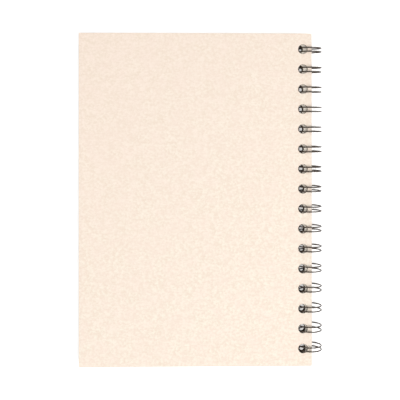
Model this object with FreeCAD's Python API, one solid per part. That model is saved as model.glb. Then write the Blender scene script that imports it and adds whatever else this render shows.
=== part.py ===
import FreeCAD, Part
import math
import os

from FreeCAD import Vector

# A wire-bound notebook that lies flat with its rear cover up, in millimetres.
# +X points to the bound side, +Y to the head of the covers and +Z up. The origin lies under the
# middle of the whole notebook, level with the lowest side of the wire loops.

# Covers: two loose boards of one size
cover_width = 148.0
cover_height = 211.7
cover_thickness = 1.2

# Leaves: a plain block of loose sheets between the boards, a little smaller than they are
head_overhang = 1.6       # how far the covers stand past the leaves at head and tail
sheets_narrower = 3.7     # the leaves are this much less wide than the covers
sheet_thickness = 0.1
sheet_count = 59
sheet_skew = 0.55         # the leaves hang turned by so many degrees, with their head to the left
hang_play = 0.1           # between the wire and the holes of the leaves, where it holds their head
sheet_play = 0.1          # air between the outer leaves and the covers they lie on
level_strip = 12.0        # the leaves lie level this far in from their bound edge, over the links

# Row of round holes along the bound edge, as many as fit between the two margins
loop_pitch = 12.7
hole_diameter = 5.75
hole_margin = 5.7         # from the bound edge of a board or leaf to the middle of its holes
head_margin = 10.1        # from the head of a cover to the middle of the first hole
least_tail_margin = 6.0   # the last hole's middle is at least this far from the tail

# Double-loop wire
wire_diameter = 0.85
loop_outer_diameter = 15.3
loop_spread = 2.75        # between the two legs of a loop, from middle to middle of the wire
wide_spread = 3.0         # the same in every third loop, which is formed a little wider
end_spread = 2.4          # the same in the first and the last loop
wide_every = 3
loop_lean = 0.8           # how far the lowest side of a loop stands nearer the head than its top
seam_angle = 205.0        # where the closed tips meet the roots, counted from +X over the top
root_bend = 0.9           # radius of the bend from a link into a leg, at the middle of the wire
link_play = 0.1           # air over and under the links that join the roots
cut_stub = 1.5            # straight wire left past the last bend at each cut end
spine_gap = 0.6           # from the middle line of the loops out to the covers' bound edge


def loop_point(angle, y):
    """Middle of the wire at an angle round a leaning circle about (0, y, 0)."""
    rise = loop_radius * math.sin(angle)
    lean_back = y - rise * math.sin(lean_angle)
    return Vector(loop_radius * math.cos(angle), lean_back, rise * math.cos(lean_angle))


def loop_direction(angle):
    """Direction of the wire at an angle round its leaning circle."""
    rise = math.cos(angle)
    return Vector(-math.sin(angle), -rise * math.sin(lean_angle), rise * math.cos(lean_angle))


def bend_reach(turn):
    """Length of wire that a root bend takes off each of its two straight sides."""
    return root_bend * math.tan(turn / 2)


# Boards and leaves: the leaves and the number of holes follow from the size of the covers
sheet_width = cover_width - sheets_narrower
sheet_height = cover_height - 2 * head_overhang
loop_count = int((cover_height - head_margin - least_tail_margin) / loop_pitch) + 1

# The wire: its roots start where the seam angle and the reach of the root bends put them
wire_radius = wire_diameter / 2
loop_radius = (loop_outer_diameter - wire_diameter) / 2
lean_angle = math.asin(loop_lean / (2 * loop_radius))
to_tail = Vector(0, -1, 0)
seam = math.radians(seam_angle)
seam_reach = bend_reach(to_tail.getAngle(loop_direction(seam)))
root_angle = seam + math.atan(seam_reach / loop_radius)
root_direction = loop_direction(root_angle)
reach_in = bend_reach(to_tail.getAngle(root_direction))
reach_out = bend_reach(math.pi - to_tail.getAngle(root_direction))
link_z = (loop_point(root_angle, 0) - root_direction * reach_in).z
loop_reach = loop_radius * math.cos(lean_angle) + wire_radius

# The pile: each level follows from the one that carries it, with z = 0 in the middle of the loops
front_top = link_z - wire_radius - link_play
front_bottom = front_top - cover_thickness
sheets_bottom = link_z + wire_radius + link_play
sheets_top = sheets_bottom + sheet_count * sheet_thickness
rear_bottom = sheets_top + sheet_play

# Where the middle line of the loops lies in the notebook's own frame
spine_x = (cover_width - spine_gap - loop_radius - wire_radius) / 2
spine_z = loop_reach


def hole_y(index):
    """Place of a hole or loop along the spine, counted from the head."""
    return cover_height / 2 - head_margin - index * loop_pitch


def spread_of(index):
    """Distance between the two legs of a loop."""
    if index in (0, loop_count - 1):
        return end_spread
    if index % wide_every == wide_every - 1:
        return wide_spread
    return loop_spread


def punched(slab, bound_edge):
    """A board or pile of leaves with its row of round holes."""
    box = slab.BoundBox
    punches = []
    for index in range(loop_count):
        foot = Vector(bound_edge - hole_margin, hole_y(index), box.ZMin - 1)
        punches.append(Part.makeCylinder(hole_diameter / 2, box.ZLength + 2, foot))
    return slab.cut(punches)


def cover(low):
    """One board, cut square and punched."""
    corner = Vector(spine_gap - cover_width, -cover_height / 2, low)
    return punched(Part.makeBox(cover_width, cover_height, cover_thickness, corner), spine_gap)


def sheet_hole_x():
    """Middle of the leaves' row of holes: at the head they have slipped out to the wire."""
    leg_inside = math.sqrt((loop_radius - wire_radius) ** 2 - sheets_top ** 2)
    leg_beside = wide_spread / 2 + wire_radius
    rim_reach = math.sqrt((hole_diameter / 2) ** 2 - leg_beside ** 2)
    head_x = hang_play - leg_inside - rim_reach
    return head_x + hole_y(0) * math.sin(math.radians(sheet_skew))


def page_block():
    """The loose leaves: level over the links, then sagging until they lie on the front cover."""
    hole_x = sheet_hole_x()
    bound_edge = hole_x + hole_margin
    free_edge = bound_edge - sheet_width
    outline = (
        (bound_edge, sheets_top),
        (free_edge, sheets_top),
        (free_edge, front_top + sheet_play),
        (bound_edge - level_strip, sheets_bottom),
        (bound_edge, sheets_bottom),
        (bound_edge, sheets_top),
    )
    foot = [Vector(x, -sheet_height / 2, z) for x, z in outline]
    side = Part.Face(Part.makePolygon(foot))
    block = punched(side.extrude(Vector(0, sheet_height, 0)), bound_edge)
    block.rotate(Vector(hole_x, 0, 0), Vector(0, 0, 1), sheet_skew)
    return block


class WireRun:
    """Round wire, laid from one cut end to the other as straight and bent tube walls."""

    def __init__(self, start, direction):
        self.point = start
        self.direction = direction
        self.rim = Part.Edge(Part.Circle(start, direction, wire_radius))
        self.walls = [Part.Face(Part.Wire([self.rim]))]

    def straight(self, length):
        step = self.direction * length
        self.walls.append(self.rim.extrude(step))
        self.rim.translate(step)
        self.point = self.point + step

    def turn(self, centre, axis, angle):
        degrees = math.degrees(angle)
        self.walls.append(self.rim.revolve(centre, axis, degrees))
        self.rim.rotate(centre, axis, degrees)
        rotation = FreeCAD.Rotation(axis, degrees)
        self.point = centre + rotation.multVec(self.point - centre)
        self.direction = rotation.multVec(self.direction)

    def bend_to(self, direction):
        axis = self.direction.cross(direction).normalize()
        centre = self.point + axis.cross(self.direction) * root_bend
        self.turn(centre, axis, self.direction.getAngle(direction))

    def double_back(self, beside):
        axis = self.direction.cross(beside).normalize()
        self.turn(self.point + beside / 2, axis, math.pi)

    def solid(self):
        self.walls.append(Part.Face(Part.Wire([self.rim])))
        skin = Part.makeShell(self.walls)
        skin.sewShape()
        return Part.makeSolid(skin)


def lay_loop(run, index):
    """From a link into the first leg, round the closed tip and back out of the second leg."""
    first_y = hole_y(index) + spread_of(index) / 2
    second_y = hole_y(index) - spread_of(index) / 2
    tip_angle = seam - spread_of(index) / 2 / loop_radius
    sweep = 2 * math.pi + tip_angle - root_angle
    loop_axis = Vector(0, -math.cos(lean_angle), -math.sin(lean_angle))
    run.bend_to(root_direction)
    run.turn(Vector(0, first_y, 0), loop_axis, sweep)
    across = loop_point(tip_angle, second_y) - run.point
    overlap = -across.dot(run.direction)
    run.double_back(across + run.direction * overlap)
    run.straight(overlap)
    run.turn(Vector(0, second_y, 0), loop_axis * -1, sweep)
    run.straight(reach_in - reach_out)
    run.bend_to(to_tail)


def wire_binding():
    """One wire with a closed loop in every hole and a straight link between neighbours."""
    root = loop_point(root_angle, hole_y(0) + spread_of(0) / 2)
    first_corner = root - root_direction * reach_in
    run = WireRun(first_corner - to_tail * (reach_in + cut_stub), to_tail)
    run.straight(cut_stub)
    for index in range(loop_count):
        if index > 0:
            legs = (spread_of(index - 1) + spread_of(index)) / 2
            run.straight(loop_pitch - legs - reach_in - reach_out)
        lay_loop(run, index)
    run.straight(cut_stub)
    return run.solid()


def write(name, shape):
    """Put a finished piece in the notebook's own frame and save it."""
    shape.translate(Vector(spine_x, 0, spine_z))
    shape.exportStep("parts/" + name + ".step")


os.makedirs("parts", exist_ok=True)
write("rear_cover", cover(rear_bottom))
write("front_cover", cover(front_bottom))
write("page_block", page_block())
write("wire_binding", wire_binding())
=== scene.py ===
import math

import bpy
import bmesh
from mathutils import Matrix, Vector


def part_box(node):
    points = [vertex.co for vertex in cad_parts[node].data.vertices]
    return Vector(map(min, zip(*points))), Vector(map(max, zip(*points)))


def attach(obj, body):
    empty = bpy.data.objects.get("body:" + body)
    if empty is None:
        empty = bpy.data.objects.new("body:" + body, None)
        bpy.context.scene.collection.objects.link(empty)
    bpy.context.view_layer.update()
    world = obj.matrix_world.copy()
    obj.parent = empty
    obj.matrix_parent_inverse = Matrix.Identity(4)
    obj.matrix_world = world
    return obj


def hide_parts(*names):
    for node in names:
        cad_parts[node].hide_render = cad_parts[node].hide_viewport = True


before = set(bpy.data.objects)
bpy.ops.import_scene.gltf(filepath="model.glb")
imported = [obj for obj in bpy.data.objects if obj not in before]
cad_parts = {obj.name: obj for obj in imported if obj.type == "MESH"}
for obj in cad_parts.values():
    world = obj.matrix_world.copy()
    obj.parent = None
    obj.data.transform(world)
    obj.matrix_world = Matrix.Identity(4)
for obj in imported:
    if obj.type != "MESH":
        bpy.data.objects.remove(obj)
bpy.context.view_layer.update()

scene = bpy.context.scene


# Camera

# The picture was taken from straight above, a little more than half a metre over the rear cover.
# The lens was shifted slightly towards the head, so that the lower loops show their far sides.

camera = bpy.data.cameras.new("camera")
camera.sensor_width = 36.0
camera.lens = 75.6
camera.shift_y = -0.10
camera_stand = bpy.data.objects.new("camera", camera)
camera_stand.location = (-0.0132, 0.0243, 0.5453)
camera_stand.rotation_euler = (math.radians(0.10), math.radians(-1.34), math.radians(-0.02))
scene.collection.objects.link(camera_stand)
scene.camera = camera_stand


# Light

# Soft white light from all round, as in a light tent, with one wide lamp over the bound side
# and one weaker lamp over the free side.

scene.view_settings.view_transform = "Standard"


def place_node(tree, kind, settings=None, **values):
    """A node with its settings, and with numbers or links on inputs given by name or as _number."""
    node = tree.nodes.new(kind)
    for setting, choice in (settings or {}).items():
        setattr(node, setting, choice)
    for label, value in values.items():
        socket = node.inputs[int(label[1:])] if label[0] == "_" else node.inputs[label.replace("_", " ")]
        if isinstance(value, bpy.types.NodeSocket):
            tree.links.new(value, socket)
        else:
            socket.default_value = value
    return node


def sum_of(tree, operation, first, second=0.0):
    """The result of a sum with one or two numbers or links."""
    return place_node(tree, "ShaderNodeMath", {"operation": operation}, _0=first, _1=second).outputs[0]


def seen_itself(tree):
    """One for what the camera sees, straight or in a reflection or through glass, else zero."""
    rays = tree.nodes.new("ShaderNodeLightPath").outputs
    seen = sum_of(tree, "MAXIMUM", rays["Is Camera Ray"], rays["Is Glossy Ray"])
    return sum_of(tree, "MAXIMUM", seen, rays["Is Transmission Ray"])


white = (1.0, 1.0, 1.0, 1.0)
tent_strength = 0.30
tent = bpy.data.worlds.new("tent")
tent.use_nodes = True
scene.world = tent
tent_look = tent.node_tree
tent_look.nodes.clear()
tent_glow = place_node(tent_look, "ShaderNodeBackground", Color=white, Strength=tent_strength)
tent_wall = place_node(tent_look, "ShaderNodeBackground", Color=white, Strength=1.0)
tent_mix = place_node(tent_look, "ShaderNodeMixShader", Fac=seen_itself(tent_look),
                      _1=tent_glow.outputs[0], _2=tent_wall.outputs[0])
place_node(tent_look, "ShaderNodeOutputWorld", Surface=tent_mix.outputs[0])


def wide_lamp(name, place, size, power):
    """A square soft lamp that shines at the middle of the notebook."""
    lamp = bpy.data.lights.new(name, "AREA")
    lamp.shape = "SQUARE"
    lamp.size = size
    lamp.energy = power
    stand = bpy.data.objects.new(name, lamp)
    stand.location = place
    stand.rotation_euler = (-Vector(place)).to_track_quat("-Z", "Y").to_euler()
    scene.collection.objects.link(stand)


wide_lamp("lamp_bound_side", (0.38, -0.30, 1.25), 0.7, 12.6)
wide_lamp("lamp_free_side", (-0.80, 0.30, 0.90), 0.9, 2.5)


# Table

# A plain white table top. The notebook lies on its wire loops and on the free edge of its front
# cover, so the table is about one degree off level in the notebook's own frame.

spine_x = 0.069875
free_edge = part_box("front_cover")[0]
table_slope = free_edge.z / (free_edge.x - spine_x)
table_reach = 0.9
table_corners = [(x * table_reach, y * table_reach, (x * table_reach - spine_x) * table_slope)
                 for x, y in ((-1, -1), (1, -1), (1, 1), (-1, 1))]

table_mesh = bpy.data.meshes.new("table")
table_mesh.from_pydata(table_corners, [], [(0, 1, 2, 3)])
table = bpy.data.objects.new("table", table_mesh)
scene.collection.objects.link(table)

table_lift = 0.55
table_white = bpy.data.materials.new("table white")
table_white.use_nodes = True
table_look = table_white.node_tree
table_face = table_look.nodes["Principled BSDF"]
table_face.inputs["Base Color"].default_value = (0.86, 0.86, 0.86, 1.0)
table_face.inputs["Roughness"].default_value = 0.9
table_face.inputs["Specular IOR Level"].default_value = 0.1
table_face.inputs["Emission Color"].default_value = white
table_look.links.new(sum_of(table_look, "MULTIPLY", seen_itself(table_look), table_lift),
                     table_face.inputs["Emission Strength"])
table_mesh.materials.append(table_white)


# Covers

# Two plain boards of pale cream, uncoated, pressed from pulp with visible fibres. They are cut
# square and punched with a row of round holes, which leaves their rims slightly rounded. Painted
# shade darkens their outline and the rims of their holes.
# They hang loose on the wire.

board_low, board_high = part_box("rear_cover")
board_width, board_height, board_thickness = board_high - board_low
board_rounding = 0.00016
hole_diameter = 0.00575
hole_count = 16
hole_pitch = 0.0127
hole_margin = 0.0057
head_margin = 0.0101
board_hole_x = board_high.x - hole_margin
first_hole_y = board_high.y - head_margin
board_hole_sides = 40


def new_tree(name, kind, inputs, outputs):
    """An empty node tree with named inputs and outputs."""
    tree = bpy.data.node_groups.new(name, kind)
    for label, socket in inputs:
        tree.interface.new_socket(label, in_out="INPUT", socket_type=socket)
    for label, socket in outputs:
        tree.interface.new_socket(label, in_out="OUTPUT", socket_type=socket)
    return tree, tree.nodes.new("NodeGroupInput"), tree.nodes.new("NodeGroupOutput")


def join_parts(tree, *parts):
    """Several geometries as one."""
    node = tree.nodes.new("GeometryNodeJoinGeometry")
    for part in reversed(parts):
        tree.links.new(part, node.inputs[0])
    return node.outputs[0]


# A flat blank with its row of punched holes
punch_tree, punch_in, punch_out = new_tree("punched blank", "GeometryNodeTree", [
    ("Width", "NodeSocketFloat"),
    ("Height", "NodeSocketFloat"),
    ("Middle", "NodeSocketVector"),
    ("Hole Diameter", "NodeSocketFloat"),
    ("Hole Count", "NodeSocketInt"),
    ("Hole Pitch", "NodeSocketFloat"),
    ("First Hole", "NodeSocketVector"),
    ("Hole Sides", "NodeSocketInt"),
], [("Blank", "NodeSocketGeometry")])
blank_edge = place_node(punch_tree, "GeometryNodeCurvePrimitiveQuadrilateral",
                        Width=punch_in.outputs["Width"], Height=punch_in.outputs["Height"])
blank_edge = place_node(punch_tree, "GeometryNodeTransform",
                        Geometry=blank_edge.outputs[0], Translation=punch_in.outputs["Middle"])
hole_step = place_node(punch_tree, "ShaderNodeCombineXYZ",
                       Y=sum_of(punch_tree, "MULTIPLY", punch_in.outputs["Hole Pitch"], -1.0))
hole_row = place_node(punch_tree, "GeometryNodeMeshLine", {"mode": "OFFSET"},
                      Count=punch_in.outputs["Hole Count"],
                      Start_Location=punch_in.outputs["First Hole"],
                      Offset=hole_step.outputs[0])
hole_edge = place_node(punch_tree, "GeometryNodeCurvePrimitiveCircle", {"mode": "RADIUS"},
                       Resolution=punch_in.outputs["Hole Sides"],
                       Radius=sum_of(punch_tree, "MULTIPLY", punch_in.outputs["Hole Diameter"], 0.5))
hole_edges = place_node(punch_tree, "GeometryNodeInstanceOnPoints",
                        Points=hole_row.outputs[0], Instance=hole_edge.outputs[0])
hole_edges = place_node(punch_tree, "GeometryNodeRealizeInstances", Geometry=hole_edges.outputs[0])
blank = place_node(punch_tree, "GeometryNodeFillCurve",
                   Curve=join_parts(punch_tree, blank_edge.outputs[0], hole_edges.outputs[0]))
punch_tree.links.new(blank.outputs[0], punch_out.inputs[0])

# A blank given its thickness, with its faces outwards
thick_tree, thick_in, thick_out = new_tree("thickened blank", "GeometryNodeTree", [
    ("Blank", "NodeSocketGeometry"),
    ("Thickness", "NodeSocketFloat"),
], [("Slab", "NodeSocketGeometry")])
slab_rise = place_node(thick_tree, "ShaderNodeCombineXYZ", Z=thick_in.outputs["Thickness"])
slab_top = place_node(thick_tree, "GeometryNodeExtrudeMesh", {"mode": "FACES"},
                      Mesh=thick_in.outputs["Blank"], Offset=slab_rise.outputs[0],
                      Offset_Scale=1.0, Individual=False)
slab_under = place_node(thick_tree, "GeometryNodeFlipFaces", Mesh=thick_in.outputs["Blank"])
slab = place_node(thick_tree, "GeometryNodeMergeByDistance",
                  Geometry=join_parts(thick_tree, slab_top.outputs[0], slab_under.outputs[0]),
                  Distance=0.000001)
thick_tree.links.new(slab.outputs[0], thick_out.inputs[0])

# A whole board
board_tree, board_in, board_out = new_tree("punched board", "GeometryNodeTree", [
    ("Width", "NodeSocketFloat"),
    ("Height", "NodeSocketFloat"),
    ("Thickness", "NodeSocketFloat"),
    ("Middle", "NodeSocketVector"),
    ("Underside", "NodeSocketFloat"),
    ("Hole Diameter", "NodeSocketFloat"),
    ("Hole Count", "NodeSocketInt"),
    ("Hole Pitch", "NodeSocketFloat"),
    ("First Hole", "NodeSocketVector"),
    ("Hole Sides", "NodeSocketInt"),
    ("Finish", "NodeSocketMaterial"),
], [("Board", "NodeSocketGeometry")])
punched = place_node(board_tree, "GeometryNodeGroup", {"node_tree": punch_tree})
for label in ("Width", "Height", "Middle", "Hole Diameter", "Hole Count", "Hole Pitch",
              "First Hole", "Hole Sides"):
    board_tree.links.new(board_in.outputs[label], punched.inputs[label])
thickened = place_node(board_tree, "GeometryNodeGroup", {"node_tree": thick_tree},
                       Blank=punched.outputs[0], Thickness=board_in.outputs["Thickness"])
board_rise = place_node(board_tree, "ShaderNodeCombineXYZ", Z=board_in.outputs["Underside"])
board_placed = place_node(board_tree, "GeometryNodeTransform", Geometry=thickened.outputs[0],
                          Translation=board_rise.outputs[0])
board_real = place_node(board_tree, "GeometryNodeRealizeInstances", Geometry=board_placed.outputs[0])
board_set = place_node(board_tree, "GeometryNodeSetMaterial",
                       Geometry=board_real.outputs[0], Material=board_in.outputs["Finish"])
board_tree.links.new(board_set.outputs[0], board_out.inputs[0])


def make_piece(name, tree, values, start_mesh=None):
    """A new object with the plain mesh that a tree of nodes makes from these values."""
    piece = bpy.data.objects.new(name, start_mesh or bpy.data.meshes.new(name))
    scene.collection.objects.link(piece)
    modifier = piece.modifiers.new("make", "NODES")
    modifier.node_group = tree
    for item in tree.interface.items_tree:
        if item.in_out == "INPUT" and item.name in values:
            modifier[item.identifier] = values[item.name]
    made = piece.evaluated_get(bpy.context.evaluated_depsgraph_get())
    mesh = bpy.data.meshes.new_from_object(made)
    mesh.name = name
    piece.modifiers.clear()
    piece.data = mesh
    return piece


# Fibres, flecks and cloudy mottle of pressed pulp, for the boards and the leaves
pulp_tree, pulp_in, pulp_out = new_tree("pulp", "ShaderNodeTree", [
    ("Place", "NodeSocketVector"),
    ("Grain Size", "NodeSocketFloat"),
    ("Fibre Length", "NodeSocketFloat"),
], [("Grain", "NodeSocketFloat"), ("Cloud", "NodeSocketFloat"), ("Fibres", "NodeSocketFloat"),
    ("Relief", "NodeSocketFloat")])
grain_scale = sum_of(pulp_tree, "DIVIDE", 1.0, pulp_in.outputs["Grain Size"])
grain = place_node(pulp_tree, "ShaderNodeTexNoise", Vector=pulp_in.outputs["Place"],
                   Scale=grain_scale, Detail=3.0, Roughness=0.65)
cloud = place_node(pulp_tree, "ShaderNodeTexNoise", Vector=pulp_in.outputs["Place"],
                   Scale=110.0, Detail=3.0, Roughness=0.5)
fibre_scale = sum_of(pulp_tree, "DIVIDE", 1.0, pulp_in.outputs["Fibre Length"])
fibre_marks = []
for turn in (0.35, 1.5, 2.5):
    lie = place_node(pulp_tree, "ShaderNodeMapping", Vector=pulp_in.outputs["Place"],
                     Rotation=(0.0, 0.0, turn), Scale=(1.0, 9.0, 1.0))
    strand = place_node(pulp_tree, "ShaderNodeTexNoise", Vector=lie.outputs[0],
                        Scale=fibre_scale, Detail=1.0, Roughness=0.4, Distortion=0.6)
    mark = place_node(pulp_tree, "ShaderNodeMapRange", {"clamp": True}, Value=strand.outputs[0],
                      From_Min=0.62, From_Max=0.72, To_Min=0.0, To_Max=1.0)
    fibre_marks.append(mark.outputs[0])
fibres = sum_of(pulp_tree, "MAXIMUM", sum_of(pulp_tree, "MAXIMUM", *fibre_marks[:2]), fibre_marks[2])
relief = sum_of(pulp_tree, "ADD", grain.outputs[0], sum_of(pulp_tree, "MULTIPLY", fibres, 0.3))
pulp_tree.links.new(grain.outputs[0], pulp_out.inputs["Grain"])
pulp_tree.links.new(cloud.outputs[0], pulp_out.inputs["Cloud"])
pulp_tree.links.new(fibres, pulp_out.inputs["Fibres"])
pulp_tree.links.new(relief, pulp_out.inputs["Relief"])

# Where a board or leaf was cut: near its outline and near the rims of its holes; these masks place the
# painted shade there and the rougher rims
cut_tree, cut_in, cut_out = new_tree("cut edges", "ShaderNodeTree", [
    ("Place", "NodeSocketVector"),
    ("Middle X", "NodeSocketFloat"),
    ("Width", "NodeSocketFloat"),
    ("Height", "NodeSocketFloat"),
    ("Hole X", "NodeSocketFloat"),
    ("First Hole Y", "NodeSocketFloat"),
    ("Hole Pitch", "NodeSocketFloat"),
    ("Last Hole", "NodeSocketFloat"),
    ("Hole Radius", "NodeSocketFloat"),
    ("Reach", "NodeSocketFloat"),
], [("Edge", "NodeSocketFloat"), ("Rim", "NodeSocketFloat")])
cut_place = place_node(cut_tree, "ShaderNodeSeparateXYZ", Vector=cut_in.outputs["Place"])
from_middle = sum_of(cut_tree, "ABSOLUTE", sum_of(
    cut_tree, "SUBTRACT", cut_place.outputs["X"], cut_in.outputs["Middle X"]))
side_gap = sum_of(cut_tree, "SUBTRACT", sum_of(
    cut_tree, "MULTIPLY", cut_in.outputs["Width"], 0.5), from_middle)
end_gap = sum_of(cut_tree, "SUBTRACT", sum_of(
    cut_tree, "MULTIPLY", cut_in.outputs["Height"], 0.5),
    sum_of(cut_tree, "ABSOLUTE", cut_place.outputs["Y"]))
edge_gap = sum_of(cut_tree, "MINIMUM", side_gap, end_gap)
edge_mark = place_node(cut_tree, "ShaderNodeMapRange", {"clamp": True}, Value=edge_gap,
                       From_Min=0.0, From_Max=cut_in.outputs["Reach"], To_Min=1.0, To_Max=0.0)
down_row = sum_of(cut_tree, "SUBTRACT", cut_in.outputs["First Hole Y"], cut_place.outputs["Y"])
hole_number = sum_of(cut_tree, "ROUND", sum_of(
    cut_tree, "DIVIDE", down_row, cut_in.outputs["Hole Pitch"]))
hole_number = sum_of(cut_tree, "MINIMUM", sum_of(cut_tree, "MAXIMUM", hole_number, 0.0),
                     cut_in.outputs["Last Hole"])
along = sum_of(cut_tree, "SUBTRACT", down_row, sum_of(
    cut_tree, "MULTIPLY", hole_number, cut_in.outputs["Hole Pitch"]))
aside = sum_of(cut_tree, "SUBTRACT", cut_place.outputs["X"], cut_in.outputs["Hole X"])
from_hole = sum_of(cut_tree, "SQRT", sum_of(
    cut_tree, "ADD", sum_of(cut_tree, "MULTIPLY", along, along),
    sum_of(cut_tree, "MULTIPLY", aside, aside)))
rim_gap = sum_of(cut_tree, "SUBTRACT", from_hole, cut_in.outputs["Hole Radius"])
rim_mark = place_node(cut_tree, "ShaderNodeMapRange", {"clamp": True}, Value=rim_gap,
                      From_Min=0.0, From_Max=cut_in.outputs["Reach"], To_Min=1.0, To_Max=0.0)
cut_tree.links.new(edge_mark.outputs[0], cut_out.inputs["Edge"])
cut_tree.links.new(rim_mark.outputs[0], cut_out.inputs["Rim"])


def tinted(tree, amount, under, over):
    """One colour laid over another, by an amount."""
    node = tree.nodes.new("ShaderNodeMix")
    node.data_type = "RGBA"
    for socket, value in ((node.inputs["Factor"], amount), (node.inputs[6], under), (node.inputs[7], over)):
        if isinstance(value, bpy.types.NodeSocket):
            tree.links.new(value, socket)
        else:
            socket.default_value = value
    return node.outputs[2]


def graded(tree, value, low, high, to_low, to_high):
    """A number brought from one range to another and kept inside it."""
    return place_node(tree, "ShaderNodeMapRange", {"clamp": True}, Value=value, From_Min=low,
                      From_Max=high, To_Min=to_low, To_Max=to_high).outputs[0]


# Pressed board: cream, with painted shade that turns it rosier towards the free side and the head,
# with painted shade in brown along the outline and in dark brown round the holes
cream = (0.995, 0.925, 0.795, 1.0)
shaded_rosy_cream = (1.0, 0.858, 0.745, 1.0)
grain_brown = (0.915, 0.775, 0.645, 1.0)
cloud_rose = (0.985, 0.825, 0.725, 1.0)
fibre_brown = (0.86, 0.70, 0.56, 1.0)
edge_shade_brown = (0.70, 0.58, 0.47, 1.0)
rim_shade_brown = (0.12, 0.08, 0.052, 1.0)
cream_board = bpy.data.materials.new("cream board")
cream_board.use_nodes = True
board_look = cream_board.node_tree
board_face = board_look.nodes["Principled BSDF"]
board_place = board_look.nodes.new("ShaderNodeTexCoord").outputs["Object"]
board_pulp = place_node(board_look, "ShaderNodeGroup", {"node_tree": pulp_tree}, Place=board_place,
                        Grain_Size=0.0016, Fibre_Length=0.0032)
board_cut = place_node(board_look, "ShaderNodeGroup", {"node_tree": cut_tree}, Place=board_place,
                       Middle_X=(board_low.x + board_high.x) / 2, Width=board_width,
                       Height=board_height, Hole_X=board_hole_x, First_Hole_Y=first_hole_y,
                       Hole_Pitch=hole_pitch, Last_Hole=hole_count - 1,
                       Hole_Radius=hole_diameter / 2, Reach=0.0005)
# Painted shade: the board turns rosier and darker towards the free side and the head, away from the lamp
# over the bound side.
board_shade_slope = place_node(board_look, "ShaderNodeVectorMath", {"operation": "DOT_PRODUCT"},
                         _0=board_place, _1=(-0.6, 0.8, 0.0))
board_colour = tinted(board_look, graded(board_look, board_shade_slope.outputs["Value"], -0.08, 0.13, 0.0, 1.0),
                      cream, shaded_rosy_cream)
for amount, colour in (
        (graded(board_look, board_pulp.outputs["Grain"], 0.38, 0.62, 1.0, 0.0), grain_brown),
        (graded(board_look, board_pulp.outputs["Cloud"], 0.35, 0.65, 0.0, 0.45), cloud_rose),
        (sum_of(board_look, "MULTIPLY", board_pulp.outputs["Fibres"], 0.4), fibre_brown),
        # painted shade in brown along the outline
        (sum_of(board_look, "MULTIPLY", board_cut.outputs["Edge"], 0.55), edge_shade_brown),
        # painted shade in dark brown round the holes, where the hole walls lie in shade
        (graded(board_look, board_cut.outputs["Rim"], 0.5, 0.85, 0.0, 0.95), rim_shade_brown)):
    board_colour = tinted(board_look, amount, board_colour, colour)
board_look.links.new(board_colour, board_face.inputs["Base Color"])
board_matt = graded(board_look, board_pulp.outputs["Grain"], 0.3, 0.7, 0.82, 0.95)
board_look.links.new(sum_of(board_look, "MAXIMUM", board_matt, board_cut.outputs["Rim"]),
                     board_face.inputs["Roughness"])
board_face.inputs["Specular IOR Level"].default_value = 0.25
board_bump = place_node(board_look, "ShaderNodeBump", Strength=0.35, Distance=0.00003,
                        Height=board_pulp.outputs["Relief"])
board_look.links.new(board_bump.outputs[0], board_face.inputs["Normal"])

for node_name, piece_name in (("rear_cover", "rear_board"), ("front_cover", "front_board")):
    low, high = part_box(node_name)
    middle = (low + high) / 2
    board = make_piece(piece_name, board_tree, {
        "Width": board_width,
        "Height": board_height,
        "Thickness": board_thickness,
        "Middle": (middle.x, middle.y, 0.0),
        "Underside": low.z,
        "Hole Diameter": hole_diameter,
        "Hole Count": hole_count,
        "Hole Pitch": hole_pitch,
        "First Hole": (board_hole_x, first_hole_y, 0.0),
        "Hole Sides": board_hole_sides,
        "Finish": cream_board,
    })
    work = bmesh.new()
    work.from_mesh(board.data)
    bmesh.ops.dissolve_limit(work, angle_limit=math.radians(1), verts=work.verts, edges=work.edges)
    cut_corners = [edge for edge in work.edges if edge.calc_face_angle(0) > math.radians(60)]
    bmesh.ops.bevel(work, geom=cut_corners, offset=board_rounding, segments=3, profile=0.5,
                    affect="EDGES", clamp_overlap=True)
    bmesh.ops.triangulate(work, faces=[face for face in work.faces if len(face.verts) > 4])
    for face in work.faces:
        face.smooth = abs(face.normal.z) < 0.999
    work.to_mesh(board.data)
    work.free()
    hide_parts(node_name)
    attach(board, node_name)


# Leaves

# Fifty-nine loose sheets of off-white uncoated paper, cut together and punched with the same row
# of holes. They hang loose on the wire, slipped to their free side and turned by about half a
# degree, level over the links and then sagging a little until the lowest one lies on the cover.

leaf_count = 59
leaf_pitch = 0.0001
leaf_thickness = 0.000086
leaf_slip = 0.00008
leaf_width = 0.1443 - 2 * leaf_slip
leaf_height = 0.2085 - 2 * leaf_slip
leaf_hole_x = 0.0628395
leaf_bound_x = leaf_hole_x + hole_margin - leaf_slip
leaf_turn = math.radians(0.55)
leaf_hole_sides = 28
level_strip = 0.012
sag_length = 0.055
pile_low, pile_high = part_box("page_block")
pile_drop = pile_high.z - pile_low.z - leaf_count * leaf_pitch

pile_tree, pile_in, pile_out = new_tree("pile of leaves", "GeometryNodeTree", [
    ("Count", "NodeSocketInt"),
    ("Width", "NodeSocketFloat"),
    ("Height", "NodeSocketFloat"),
    ("Thickness", "NodeSocketFloat"),
    ("Pitch", "NodeSocketFloat"),
    ("Bound Edge", "NodeSocketFloat"),
    ("Bottom", "NodeSocketFloat"),
    ("Level Strip", "NodeSocketFloat"),
    ("Drop", "NodeSocketFloat"),
    ("Drop Length", "NodeSocketFloat"),
    ("Slip", "NodeSocketFloat"),
    ("Turn", "NodeSocketFloat"),
    ("Hole Diameter", "NodeSocketFloat"),
    ("Hole Count", "NodeSocketInt"),
    ("Hole Pitch", "NodeSocketFloat"),
    ("Hole X", "NodeSocketFloat"),
    ("First Hole Y", "NodeSocketFloat"),
    ("Hole Sides", "NodeSocketInt"),
    ("Finish", "NodeSocketMaterial"),
], [("Pile", "NodeSocketGeometry")])
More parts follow.
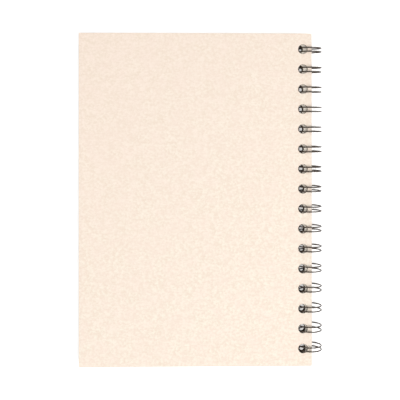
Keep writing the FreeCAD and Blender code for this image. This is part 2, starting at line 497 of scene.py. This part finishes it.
strip_middle = place_node(pile_tree, "ShaderNodeCombineXYZ", X=sum_of(
    pile_tree, "SUBTRACT", pile_in.outputs["Bound Edge"],
    sum_of(pile_tree, "MULTIPLY", pile_in.outputs["Level Strip"], 0.5)))
first_leaf_hole = place_node(pile_tree, "ShaderNodeCombineXYZ",
                             X=pile_in.outputs["Hole X"], Y=pile_in.outputs["First Hole Y"])
strip = place_node(pile_tree, "GeometryNodeGroup", {"node_tree": punch_tree},
                   Width=pile_in.outputs["Level Strip"], Middle=strip_middle.outputs[0],
                   First_Hole=first_leaf_hole.outputs[0])
for label in ("Height", "Hole Diameter", "Hole Count", "Hole Pitch", "Hole Sides"):
    pile_tree.links.new(pile_in.outputs[label], strip.inputs[label])
rest_width = sum_of(pile_tree, "SUBTRACT", pile_in.outputs["Width"], pile_in.outputs["Level Strip"])
strip_edge = sum_of(pile_tree, "SUBTRACT", pile_in.outputs["Bound Edge"], pile_in.outputs["Level Strip"])
rest = place_node(pile_tree, "GeometryNodeMeshGrid", Size_X=rest_width,
                  Size_Y=pile_in.outputs["Height"], Vertices_X=25, Vertices_Y=2)
rest_middle = place_node(pile_tree, "ShaderNodeCombineXYZ", X=sum_of(
    pile_tree, "SUBTRACT", strip_edge, sum_of(pile_tree, "MULTIPLY", rest_width, 0.5)))
rest_placed = place_node(pile_tree, "GeometryNodeTransform", Geometry=rest.outputs[0],
                         Translation=rest_middle.outputs[0])
one_sheet = place_node(pile_tree, "GeometryNodeMergeByDistance",
                       Geometry=join_parts(pile_tree, strip.outputs[0], rest_placed.outputs[0]),
                       Distance=0.000002)
one_leaf = place_node(pile_tree, "GeometryNodeGroup", {"node_tree": thick_tree},
                      Blank=one_sheet.outputs[0], Thickness=pile_in.outputs["Thickness"])
leaf_places = place_node(
    pile_tree, "GeometryNodeMeshLine", {"mode": "OFFSET"}, Count=pile_in.outputs["Count"],
    Start_Location=place_node(pile_tree, "ShaderNodeCombineXYZ", Z=pile_in.outputs["Bottom"]).outputs[0],
    Offset=place_node(pile_tree, "ShaderNodeCombineXYZ", Z=pile_in.outputs["Pitch"]).outputs[0])
leaf_number = place_node(pile_tree, "GeometryNodeInputIndex")
slip_way = place_node(pile_tree, "FunctionNodeRandomValue", {"data_type": "FLOAT_VECTOR"},
                      _0=(-1.0, -1.0, 0.0), _1=(1.0, 1.0, 0.0),
                      ID=leaf_number.outputs[0], Seed=7)
leaf_shift = place_node(pile_tree, "ShaderNodeVectorMath", {"operation": "SCALE"},
                        _0=slip_way.outputs[0], Scale=pile_in.outputs["Slip"])
leaf_spots = place_node(pile_tree, "GeometryNodeSetPosition", Geometry=leaf_places.outputs[0],
                        Offset=leaf_shift.outputs[0])
leaf_level = place_node(pile_tree, "FunctionNodeRandomValue", {"data_type": "FLOAT"},
                        _2=-0.35, _3=0.35, ID=leaf_number.outputs[0], Seed=3)
leaf_share = graded(pile_tree, sum_of(
    pile_tree, "DIVIDE", sum_of(pile_tree, "ADD", leaf_number.outputs[0], leaf_level.outputs[1]),
    sum_of(pile_tree, "SUBTRACT", pile_in.outputs["Count"], 1.0)), 0.0, 1.0, 1.0, 0.0)
leaf_tag = place_node(pile_tree, "GeometryNodeStoreNamedAttribute",
                      {"data_type": "FLOAT", "domain": "POINT"},
                      Geometry=leaf_spots.outputs[0], Name="sag", Value=leaf_share)
leaves_laid = place_node(pile_tree, "GeometryNodeInstanceOnPoints",
                         Points=leaf_tag.outputs[0], Instance=one_leaf.outputs[0])
leaves_real = place_node(pile_tree, "GeometryNodeRealizeInstances", Geometry=leaves_laid.outputs[0])
leaf_place = place_node(pile_tree, "ShaderNodeSeparateXYZ",
                        Vector=place_node(pile_tree, "GeometryNodeInputPosition").outputs[0])
sag_reach = place_node(pile_tree, "ShaderNodeMapRange",
                       {"clamp": True, "interpolation_type": "SMOOTHSTEP"},
                       Value=sum_of(pile_tree, "SUBTRACT", strip_edge, leaf_place.outputs["X"]),
                       From_Min=0.0, From_Max=pile_in.outputs["Drop Length"], To_Min=0.0, To_Max=1.0)
leaf_sag = place_node(pile_tree, "GeometryNodeInputNamedAttribute", {"data_type": "FLOAT"}, Name="sag")
sag_depth = sum_of(pile_tree, "MULTIPLY", sum_of(
    pile_tree, "MULTIPLY", sag_reach.outputs[0], leaf_sag.outputs[0]),
    sum_of(pile_tree, "MULTIPLY", pile_in.outputs["Drop"], -1.0))
leaves_sagged = place_node(pile_tree, "GeometryNodeSetPosition", Geometry=leaves_real.outputs[0],
                           Offset=place_node(pile_tree, "ShaderNodeCombineXYZ", Z=sag_depth).outputs[0])
turn_place = place_node(pile_tree, "ShaderNodeCombineXYZ", X=pile_in.outputs["Hole X"])
turn_start = place_node(pile_tree, "ShaderNodeVectorMath", {"operation": "SCALE"},
                        _0=turn_place.outputs[0], Scale=-1.0)
turn_angle = place_node(pile_tree, "ShaderNodeCombineXYZ", Z=pile_in.outputs["Turn"])
leaves_centred = place_node(pile_tree, "GeometryNodeTransform", Geometry=leaves_sagged.outputs[0],
                            Translation=turn_start.outputs[0])
leaves_turned = place_node(pile_tree, "GeometryNodeTransform", Geometry=leaves_centred.outputs[0],
                           Translation=turn_place.outputs[0], Rotation=turn_angle.outputs[0])
pile_real = place_node(pile_tree, "GeometryNodeRealizeInstances", Geometry=leaves_turned.outputs[0])
pile_set = place_node(pile_tree, "GeometryNodeSetMaterial", Geometry=pile_real.outputs[0],
                      Material=pile_in.outputs["Finish"])
pile_tree.links.new(pile_set.outputs[0], pile_out.inputs[0])

# Writing paper, with painted shade in dark brown round the holes: the pattern at the cuts is turned with
# the leaves
paper_cream = (0.84, 0.77, 0.67, 1.0)
paper_white = (0.91, 0.85, 0.76, 1.0)
paper_cloud = (0.86, 0.78, 0.68, 1.0)
paper_rim_shade = (0.08, 0.052, 0.032, 1.0)
leaf_paper = bpy.data.materials.new("leaf paper")
leaf_paper.use_nodes = True
leaf_look = leaf_paper.node_tree
leaf_face = leaf_look.nodes["Principled BSDF"]
leaf_object_place = leaf_look.nodes.new("ShaderNodeTexCoord").outputs["Object"]
leaf_pulp = place_node(leaf_look, "ShaderNodeGroup", {"node_tree": pulp_tree}, Place=leaf_object_place,
                       Grain_Size=0.0006, Fibre_Length=0.0018)
leaf_row_middle = Vector((leaf_hole_x, 0.0, 0.0))
turned_back = Matrix.Rotation(-leaf_turn, 3, "Z")
leaf_square = place_node(leaf_look, "ShaderNodeMapping", Vector=leaf_object_place,
                         Location=leaf_row_middle - turned_back @ leaf_row_middle,
                         Rotation=(0.0, 0.0, -leaf_turn))
leaf_cut = place_node(leaf_look, "ShaderNodeGroup", {"node_tree": cut_tree},
                      Place=leaf_square.outputs[0], Hole_X=leaf_hole_x, First_Hole_Y=first_hole_y,
                      Hole_Pitch=hole_pitch, Last_Hole=hole_count - 1,
                      Hole_Radius=hole_diameter / 2, Reach=0.0004)
leaf_colour = tinted(leaf_look, graded(leaf_look, leaf_pulp.outputs["Grain"], 0.3, 0.7, 0.0, 1.0),
                     paper_cream, paper_white)
leaf_colour = tinted(leaf_look, graded(leaf_look, leaf_pulp.outputs["Cloud"], 0.35, 0.65, 0.0, 0.3),
                     leaf_colour, paper_cloud)
# Painted shade in dark brown round the holes, where the hole walls of the pile lie in shade
leaf_colour = tinted(leaf_look, graded(leaf_look, leaf_cut.outputs["Rim"], 0.3, 0.8, 0.0, 0.9),
                     leaf_colour, paper_rim_shade)
leaf_look.links.new(leaf_colour, leaf_face.inputs["Base Color"])
leaf_matt = graded(leaf_look, leaf_pulp.outputs["Grain"], 0.3, 0.7, 0.8, 0.92)
leaf_look.links.new(sum_of(leaf_look, "MAXIMUM", leaf_matt, leaf_cut.outputs["Rim"]),
                    leaf_face.inputs["Roughness"])
leaf_face.inputs["Specular IOR Level"].default_value = 0.25
leaf_bump = place_node(leaf_look, "ShaderNodeBump", Strength=0.25, Distance=0.00001,
                       Height=leaf_pulp.outputs["Relief"])
leaf_look.links.new(leaf_bump.outputs[0], leaf_face.inputs["Normal"])

leaves = make_piece("leaves", pile_tree, {
    "Count": leaf_count,
    "Width": leaf_width,
    "Height": leaf_height,
    "Thickness": leaf_thickness,
    "Pitch": leaf_pitch,
    "Bound Edge": leaf_bound_x,
    "Bottom": pile_low.z + pile_drop,
    "Level Strip": level_strip,
    "Drop": pile_drop,
    "Drop Length": sag_length,
    "Slip": leaf_slip,
    "Turn": leaf_turn,
    "Hole Diameter": hole_diameter,
    "Hole Count": hole_count,
    "Hole Pitch": hole_pitch,
    "Hole X": leaf_hole_x,
    "First Hole Y": first_hole_y,
    "Hole Sides": leaf_hole_sides,
    "Finish": leaf_paper,
})
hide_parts("page_block")
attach(leaves, "binding")


# Wire

# One steel wire with a dark satin lacquer, bent into sixteen double loops and closed round
# through the holes, so that each rounded tip comes back to the roots of its own loop. It isn't
# glued or welded: the links between the loops run under the leaves and hold them.

wire_radius = 0.000425
wire_sides = 12
loop_radius = 0.007225
lean_shift = 0.0008
loop_lean = math.asin(lean_shift / (2 * loop_radius))
loop_middle = Vector((spine_x, 0.0, loop_radius * math.cos(loop_lean) + wire_radius))
plain_spread = 0.00275
wide_spread = 0.0030
end_spread = 0.0024
wide_every = 3
loop_spreads = [wide_spread if loop % wide_every == wide_every - 1 else plain_spread
                for loop in range(hole_count)]
loop_spreads[0] = loop_spreads[-1] = end_spread
root_bend = 0.0009
cut_stub = 0.0015
seam = math.radians(205)
to_tail = Vector((0.0, -1.0, 0.0))
loop_steps = 84
tip_steps = 12
bend_steps = 6


def loop_spot(angle, y):
    """Middle of the wire at an angle round its leaning loop."""
    rise = loop_radius * math.sin(angle)
    return Vector((loop_radius * math.cos(angle), y - rise * math.sin(loop_lean),
                   rise * math.cos(loop_lean)))


def loop_heading(angle):
    """Direction of the wire at an angle round its leaning loop."""
    rise = math.cos(angle)
    return Vector((-math.sin(angle), -rise * math.sin(loop_lean), rise * math.cos(loop_lean)))


def bend_reach(turn):
    """Length of wire that a root bend takes off each of its two straight sides."""
    return root_bend * math.tan(turn / 2)


class WireLay:
    """The middle line of the wire, laid from one cut end to the other."""

    def __init__(self, start, heading):
        self.spot = start
        self.heading = heading
        self.line = [start.copy()]

    def straight(self, length):
        self.spot = self.spot + self.heading * length
        self.line.append(self.spot.copy())

    def turn(self, centre, axis, angle, steps):
        step = Matrix.Rotation(angle / steps, 3, axis)
        for _ in range(steps):
            self.spot = centre + step @ (self.spot - centre)
            self.heading = step @ self.heading
            self.line.append(self.spot.copy())

    def bend_to(self, heading):
        axis = self.heading.cross(heading).normalized()
        centre = self.spot + axis.cross(self.heading) * root_bend
        self.turn(centre, axis, self.heading.angle(heading), bend_steps)

    def double_back(self, beside):
        axis = self.heading.cross(beside).normalized()
        self.turn(self.spot + beside / 2, axis, math.pi, tip_steps)


root_angle = seam + math.atan(bend_reach(to_tail.angle(loop_heading(seam))) / loop_radius)
root_heading = loop_heading(root_angle)
reach_in = bend_reach(to_tail.angle(root_heading))
reach_out = bend_reach(math.pi - to_tail.angle(root_heading))
loop_axis = Vector((0.0, -math.cos(loop_lean), -math.sin(loop_lean)))
first_root = loop_spot(root_angle, first_hole_y + loop_spreads[0] / 2)
lay = WireLay(first_root - root_heading * reach_in - to_tail * (reach_in + cut_stub), to_tail)
lay.straight(cut_stub)
for loop, spread in enumerate(loop_spreads):
    if loop > 0:
        legs = (loop_spreads[loop - 1] + spread) / 2
        lay.straight(hole_pitch - legs - reach_in - reach_out)
    first_y = first_hole_y - loop * hole_pitch + spread / 2
    second_y = first_y - spread
    tip_angle = seam - spread / 2 / loop_radius
    sweep = 2 * math.pi + tip_angle - root_angle
    lay.bend_to(root_heading)
    lay.turn(Vector((0.0, first_y, 0.0)), loop_axis, sweep, loop_steps)
    across = loop_spot(tip_angle, second_y) - lay.spot
    overlap = -across.dot(lay.heading)
    lay.double_back(across + lay.heading * overlap)
    lay.straight(overlap)
    lay.turn(Vector((0.0, second_y, 0.0)), -loop_axis, sweep, loop_steps)
    lay.straight(reach_in - reach_out)
    lay.bend_to(to_tail)
lay.straight(cut_stub)

wire_line = bpy.data.meshes.new("wire line")
wire_line.from_pydata([spot + loop_middle for spot in lay.line],
                      [(n, n + 1) for n in range(len(lay.line) - 1)], [])

draw_tree, draw_in, draw_out = new_tree("drawn wire", "GeometryNodeTree", [
    ("Line", "NodeSocketGeometry"),
    ("Radius", "NodeSocketFloat"),
    ("Sides", "NodeSocketInt"),
    ("Finish", "NodeSocketMaterial"),
], [("Wire", "NodeSocketGeometry")])
draw_line = place_node(draw_tree, "GeometryNodeMeshToCurve", Mesh=draw_in.outputs["Line"])
draw_round = place_node(draw_tree, "GeometryNodeCurvePrimitiveCircle", {"mode": "RADIUS"},
                        Resolution=draw_in.outputs["Sides"], Radius=draw_in.outputs["Radius"])
draw_skin = place_node(draw_tree, "GeometryNodeCurveToMesh", Curve=draw_line.outputs[0],
                       Profile_Curve=draw_round.outputs[0], Fill_Caps=True)
draw_real = place_node(draw_tree, "GeometryNodeRealizeInstances", Geometry=draw_skin.outputs[0])
draw_set = place_node(draw_tree, "GeometryNodeSetMaterial", Geometry=draw_real.outputs[0],
                      Material=draw_in.outputs["Finish"])
draw_tree.links.new(draw_set.outputs[0], draw_out.inputs[0])

lacquer_dark = (0.045, 0.029, 0.018, 1.0)
lacquer_light = (0.068, 0.047, 0.032, 1.0)
dark_lacquer = bpy.data.materials.new("dark lacquer")
dark_lacquer.use_nodes = True
wire_look = dark_lacquer.node_tree
wire_face = wire_look.nodes["Principled BSDF"]
wire_place = wire_look.nodes.new("ShaderNodeTexCoord").outputs["Object"]
wire_patches = place_node(wire_look, "ShaderNodeTexNoise", Vector=wire_place, Scale=420.0,
                          Detail=3.0, Roughness=0.6)
wire_orange_peel = place_node(wire_look, "ShaderNodeTexNoise", Vector=wire_place, Scale=4200.0,
                              Detail=2.0, Roughness=0.5)
wire_colour = tinted(wire_look, graded(wire_look, wire_patches.outputs[0], 0.35, 0.65, 0.0, 1.0),
                     lacquer_dark, lacquer_light)
wire_look.links.new(wire_colour, wire_face.inputs["Base Color"])
wire_look.links.new(graded(wire_look, wire_patches.outputs[0], 0.3, 0.7, 0.28, 0.42),
                    wire_face.inputs["Roughness"])
wire_face.inputs["Specular IOR Level"].default_value = 0.42
wire_bump = place_node(wire_look, "ShaderNodeBump", Strength=0.2, Distance=0.00001,
                       Height=wire_orange_peel.outputs[0])
wire_look.links.new(wire_bump.outputs[0], wire_face.inputs["Normal"])

wire = make_piece("loop_wire", draw_tree, {
    "Radius": wire_radius,
    "Sides": wire_sides,
    "Finish": dark_lacquer,
}, wire_line)
for face in wire.data.polygons:
    face.use_smooth = len(face.vertices) == 4
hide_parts("wire_binding")
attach(wire, "binding")
